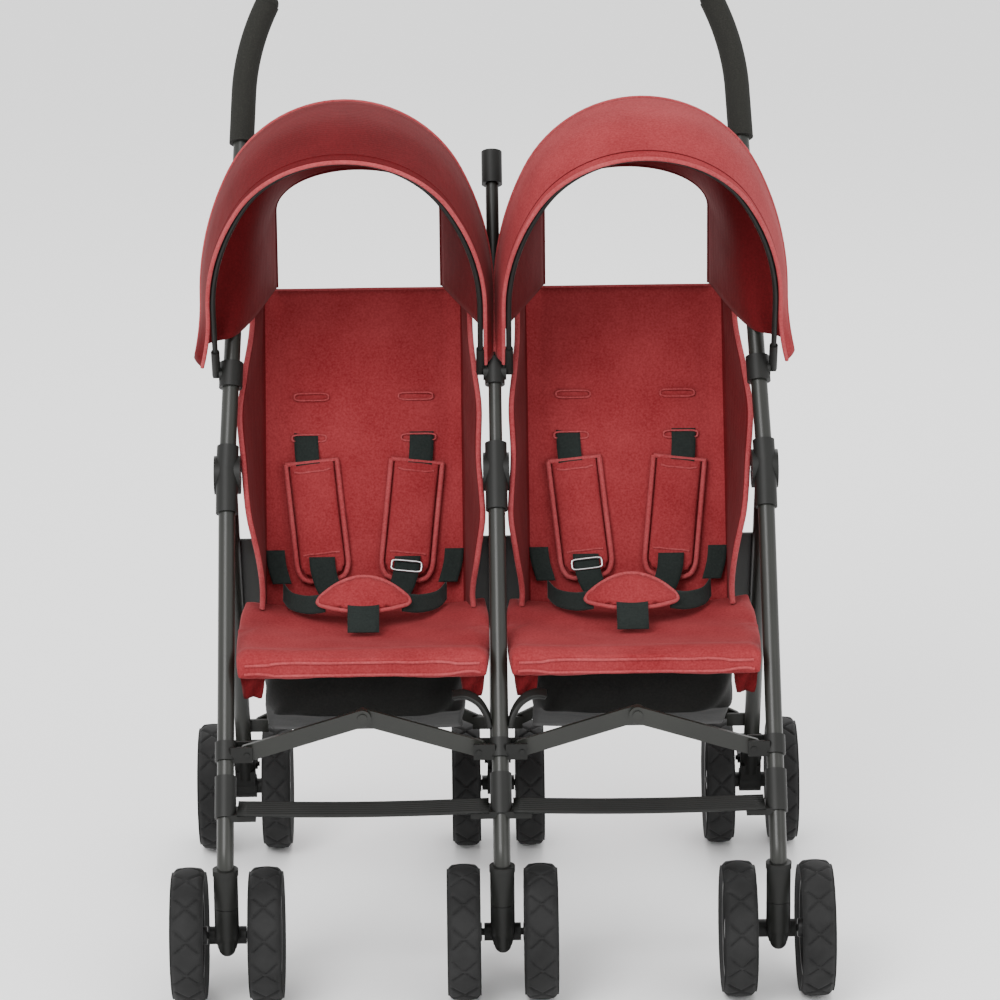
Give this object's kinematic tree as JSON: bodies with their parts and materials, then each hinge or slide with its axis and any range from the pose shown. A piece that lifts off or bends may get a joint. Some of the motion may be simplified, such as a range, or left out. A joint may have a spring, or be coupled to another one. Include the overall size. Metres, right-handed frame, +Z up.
{
  "type": "stroller",
  "caption": "Side-by-side twin umbrella-fold stroller with swivel casters, reclining seats, open-back canopies, harnesses, footrests and under-seat baskets.",
  "frame": {"origin": "on the floor, under the middle of the whole stroller's bounding box", "axes": "+Z up, +X to the viewer's right when facing the stroller, +Y backwards towards the handles"},
  "size_m": [0.733, 0.642, 1.0381],
  "materials": {
    "tube": "satin olive-grey enamel",
    "plastic": "moulded black plastic",
    "tyre": "black foam tyre",
    "grip": "closed-cell foam",
    "cloth_red": "crimson heather weave",
    "webbing": "black-green webbing",
    "cloth_black": "plain black weave"
  },
  "bodies": {
    "centre_frame": {"centre_front_leg": "tube", "centre_push_tube": "tube", "centre_elbow": "plastic", "centre_fittings": "plastic", "seat_left": "cloth_red", "seat_right": "cloth_red", "crotch_buckles": "webbing", "hood_left": "cloth_red", "hood_right": "cloth_red", "footrest_bands": "cloth_black", "storage_baskets": "cloth_black"},
    "left_frame": {"left_front_leg": "tube", "left_push_tube": "tube", "left_elbow": "plastic", "left_fittings": "plastic", "left_grip": "grip"},
    "right_frame": {"right_front_leg": "tube", "right_push_tube": "tube", "right_elbow": "plastic", "right_fittings": "plastic", "right_grip": "grip"},
    "rear_leg_left": {"rear_leg_left": "tube", "rear_axle_left": "plastic"},
    "caster_left": {"caster_left": "plastic"},
    "rear_leg_centre": {"rear_leg_centre": "tube", "rear_axle_centre": "plastic"},
    "caster_centre": {"caster_centre": "plastic"},
    "rear_leg_right": {"rear_leg_right": "tube", "rear_axle_right": "plastic"},
    "caster_right": {"caster_right": "plastic"},
    "brake_pedal_left": {"brake_pedal_left": "plastic"},
    "brake_pedal_right": {"brake_pedal_right": "plastic"},
    "front_wheel_left_outer": {"front_wheel_left_outer": "tyre"},
    "front_wheel_left_inner": {"front_wheel_left_inner": "tyre"},
    "front_wheel_centre_left": {"front_wheel_centre_left": "tyre"},
    "front_wheel_centre_right": {"front_wheel_centre_right": "tyre"},
    "front_wheel_right_inner": {"front_wheel_right_inner": "tyre"},
    "front_wheel_right_outer": {"front_wheel_right_outer": "tyre"},
    "rear_wheel_left_outer": {"rear_wheel_left_outer": "tyre"},
    "rear_wheel_left_inner": {"rear_wheel_left_inner": "tyre"},
    "rear_wheel_centre_left": {"rear_wheel_centre_left": "tyre"},
    "rear_wheel_centre_right": {"rear_wheel_centre_right": "tyre"},
    "rear_wheel_right_inner": {"rear_wheel_right_inner": "tyre"},
    "rear_wheel_right_outer": {"rear_wheel_right_outer": "tyre"},
    "brace_left_a": {"brace_left_a": "tube"},
    "brace_left_b": {"brace_left_b": "tube"},
    "brace_right_a": {"brace_right_a": "tube"},
    "brace_right_b": {"brace_right_b": "tube"},
    "spreader_left_outer": {"spreader_left_outer": "tube"},
    "spreader_left_inner": {"spreader_left_inner": "tube"},
    "spreader_right_inner": {"spreader_right_inner": "tube"},
    "spreader_right_outer": {"spreader_right_outer": "tube"},
    "backrest_left": {"backrest_left": "cloth_red", "harness_left": "cloth_red"},
    "visor_left": {"visor_left": "cloth_red", "visor_bow_left": "plastic"},
    "backrest_right": {"backrest_right": "cloth_red", "harness_right": "cloth_red"},
    "visor_right": {"visor_right": "cloth_red", "visor_bow_right": "plastic"}
  },
  "joints": [
    {"name": "fold_left", "type": "slide", "parent": "centre_frame", "child": "left_frame", "axis": [1, 0, 0], "range_m": [0, 0.165], "deforming": ["seat_left", "seat_right", "crotch_buckles", "hood_left", "hood_right", "footrest_bands", "storage_baskets", "backrest_left", "backrest_right", "harness_left", "harness_right", "visor_bow_left", "visor_bow_right", "visor_left", "visor_right"]},
    {"name": "fold_right", "type": "slide", "parent": "centre_frame", "child": "right_frame", "axis": [-1, 0, 0], "range_m": [0, 0.165]},
    {"name": "rear_leg_left_hinge", "type": "hinge", "parent": "left_frame", "child": "rear_leg_left", "pos_m": [-0.306, 0.026, 0.532], "axis": [-1, 0, 0], "range_deg": [0, 36]},
    {"name": "caster_left_swivel", "type": "hinge", "parent": "left_frame", "child": "caster_left", "pos_m": [-0.306, -0.267, 0.118], "axis": [0, 0, 1], "continuous": true},
    {"name": "rear_leg_centre_hinge", "type": "hinge", "parent": "centre_frame", "child": "rear_leg_centre", "pos_m": [0, 0.026, 0.532], "axis": [-1, 0, 0], "range_deg": [0, 36]},
    {"name": "caster_centre_swivel", "type": "hinge", "parent": "centre_frame", "child": "caster_centre", "pos_m": [0, -0.267, 0.118], "axis": [0, 0, 1], "continuous": true},
    {"name": "rear_leg_right_hinge", "type": "hinge", "parent": "right_frame", "child": "rear_leg_right", "pos_m": [0.306, 0.026, 0.532], "axis": [-1, 0, 0], "range_deg": [0, 36]},
    {"name": "caster_right_swivel", "type": "hinge", "parent": "right_frame", "child": "caster_right", "pos_m": [0.306, -0.267, 0.118], "axis": [0, 0, 1], "continuous": true},
    {"name": "brake_pedal_left_hinge", "type": "hinge", "parent": "rear_leg_left", "child": "brake_pedal_left", "pos_m": [-0.306, 0.271, 0.095], "axis": [-1, 0, 0], "range_deg": [0, 16]},
    {"name": "brake_pedal_right_hinge", "type": "hinge", "parent": "rear_leg_right", "child": "brake_pedal_right", "pos_m": [0.306, 0.271, 0.095], "axis": [-1, 0, 0], "range_deg": [0, 16]},
    {"name": "front_wheel_left_outer_spin", "type": "hinge", "parent": "caster_left", "child": "front_wheel_left_outer", "pos_m": [-0.349, -0.245, 0.076], "axis": [1, 0, 0], "continuous": true},
    {"name": "front_wheel_left_inner_spin", "type": "hinge", "parent": "caster_left", "child": "front_wheel_left_inner", "pos_m": [-0.263, -0.245, 0.076], "axis": [1, 0, 0], "continuous": true},
    {"name": "front_wheel_centre_left_spin", "type": "hinge", "parent": "caster_centre", "child": "front_wheel_centre_left", "pos_m": [-0.043, -0.245, 0.076], "axis": [1, 0, 0], "continuous": true},
    {"name": "front_wheel_centre_right_spin", "type": "hinge", "parent": "caster_centre", "child": "front_wheel_centre_right", "pos_m": [0.043, -0.245, 0.076], "axis": [1, 0, 0], "continuous": true},
    {"name": "front_wheel_right_inner_spin", "type": "hinge", "parent": "caster_right", "child": "front_wheel_right_inner", "pos_m": [0.263, -0.245, 0.076], "axis": [1, 0, 0], "continuous": true},
    {"name": "front_wheel_right_outer_spin", "type": "hinge", "parent": "caster_right", "child": "front_wheel_right_outer", "pos_m": [0.349, -0.245, 0.076], "axis": [1, 0, 0], "continuous": true},
    {"name": "rear_wheel_left_outer_spin", "type": "hinge", "parent": "rear_leg_left", "child": "rear_wheel_left_outer", "pos_m": [-0.3445, 0.245, 0.076], "axis": [1, 0, 0], "continuous": true},
    {"name": "rear_wheel_left_inner_spin", "type": "hinge", "parent": "rear_leg_left", "child": "rear_wheel_left_inner", "pos_m": [-0.2675, 0.245, 0.076], "axis": [1, 0, 0], "continuous": true},
    {"name": "rear_wheel_centre_left_spin", "type": "hinge", "parent": "rear_leg_centre", "child": "rear_wheel_centre_left", "pos_m": [-0.0385, 0.245, 0.076], "axis": [1, 0, 0], "continuous": true},
    {"name": "rear_wheel_centre_right_spin", "type": "hinge", "parent": "rear_leg_centre", "child": "rear_wheel_centre_right", "pos_m": [0.0385, 0.245, 0.076], "axis": [1, 0, 0], "continuous": true},
    {"name": "rear_wheel_right_inner_spin", "type": "hinge", "parent": "rear_leg_right", "child": "rear_wheel_right_inner", "pos_m": [0.2675, 0.245, 0.076], "axis": [1, 0, 0], "continuous": true},
    {"name": "rear_wheel_right_outer_spin", "type": "hinge", "parent": "rear_leg_right", "child": "rear_wheel_right_outer", "pos_m": [0.3445, 0.245, 0.076], "axis": [1, 0, 0], "continuous": true},
    {"name": "brace_left_a_pivot", "type": "hinge", "parent": "rear_leg_centre", "child": "brace_left_a", "pos_m": [-0.022, 0.21869, 0.16542], "axis": [0, 0.9014, 0.4329], "range_deg": [0, 39.54]},
    {"name": "brace_left_b_pivot", "type": "hinge", "parent": "rear_leg_left", "child": "brace_left_b", "pos_m": [-0.284, 0.21869, 0.16542], "axis": [0, -0.9014, -0.4329], "range_deg": [0, 39.54]},
    {"name": "brace_right_a_pivot", "type": "hinge", "parent": "rear_leg_centre", "child": "brace_right_a", "pos_m": [0.022, 0.21869, 0.16542], "axis": [0, -0.9014, -0.4329], "range_deg": [0, 39.54]},
    {"name": "brace_right_b_pivot", "type": "hinge", "parent": "rear_leg_right", "child": "brace_right_b", "pos_m": [0.284, 0.21869, 0.16542], "axis": [0, 0.9014, 0.4329], "range_deg": [0, 39.54]},
    {"name": "spreader_left_outer_pivot", "type": "hinge", "parent": "left_frame", "child": "spreader_left_outer", "pos_m": [-0.282, -0.19151, 0.273], "axis": [0, -1, 0], "range_deg": [0, 52.99]},
    {"name": "spreader_left_inner_pivot", "type": "hinge", "parent": "centre_frame", "child": "spreader_left_inner", "pos_m": [-0.024, -0.19151, 0.273], "axis": [0, 1, 0], "range_deg": [0, 52.99]},
    {"name": "spreader_right_inner_pivot", "type": "hinge", "parent": "centre_frame", "child": "spreader_right_inner", "pos_m": [0.024, -0.19151, 0.273], "axis": [0, -1, 0], "range_deg": [0, 52.99]},
    {"name": "spreader_right_outer_pivot", "type": "hinge", "parent": "right_frame", "child": "spreader_right_outer", "pos_m": [0.282, -0.19151, 0.273], "axis": [0, 1, 0], "range_deg": [0, 52.99]},
    {"name": "recline_left", "type": "hinge", "parent": "centre_frame", "child": "backrest_left", "pos_m": [-0.153, 0.0685, 0.362], "axis": [-1, 0, 0], "range_deg": [0, 24]},
    {"name": "visor_left_hinge", "type": "hinge", "parent": "centre_frame", "child": "visor_left", "pos_m": [-0.1672, 0.06144, 0.64], "axis": [-1, 0, 0], "range_deg": [0, 22], "deforming": ["visor_left"]},
    {"name": "recline_right", "type": "hinge", "parent": "centre_frame", "child": "backrest_right", "pos_m": [0.153, 0.0685, 0.362], "axis": [-1, 0, 0], "range_deg": [0, 24]},
    {"name": "visor_right_hinge", "type": "hinge", "parent": "centre_frame", "child": "visor_right", "pos_m": [0.1672, 0.06144, 0.64], "axis": [-1, 0, 0], "range_deg": [0, 22], "deforming": ["visor_right"]}
  ],
  "couplings": [
    {"joint": "fold_right", "follows": "fold_left", "ratio": 1},
    {"joint": "rear_leg_left_hinge", "follows": "fold_left", "rad_per_m": 3.8076},
    {"joint": "rear_leg_centre_hinge", "follows": "fold_left", "rad_per_m": 3.8076},
    {"joint": "rear_leg_right_hinge", "follows": "fold_left", "rad_per_m": 3.8076},
    {"joint": "brace_left_a_pivot", "follows": "fold_left", "rad_per_m": 4.1821},
    {"joint": "brace_left_b_pivot", "follows": "fold_left", "rad_per_m": 4.1821},
    {"joint": "brace_right_a_pivot", "follows": "fold_left", "rad_per_m": 4.1821},
    {"joint": "brace_right_b_pivot", "follows": "fold_left", "rad_per_m": 4.1821},
    {"joint": "spreader_left_outer_pivot", "follows": "fold_left", "rad_per_m": 5.605},
    {"joint": "spreader_left_inner_pivot", "follows": "fold_left", "rad_per_m": 5.605},
    {"joint": "spreader_right_inner_pivot", "follows": "fold_left", "rad_per_m": 5.605},
    {"joint": "spreader_right_outer_pivot", "follows": "fold_left", "rad_per_m": 5.605}
  ]
}
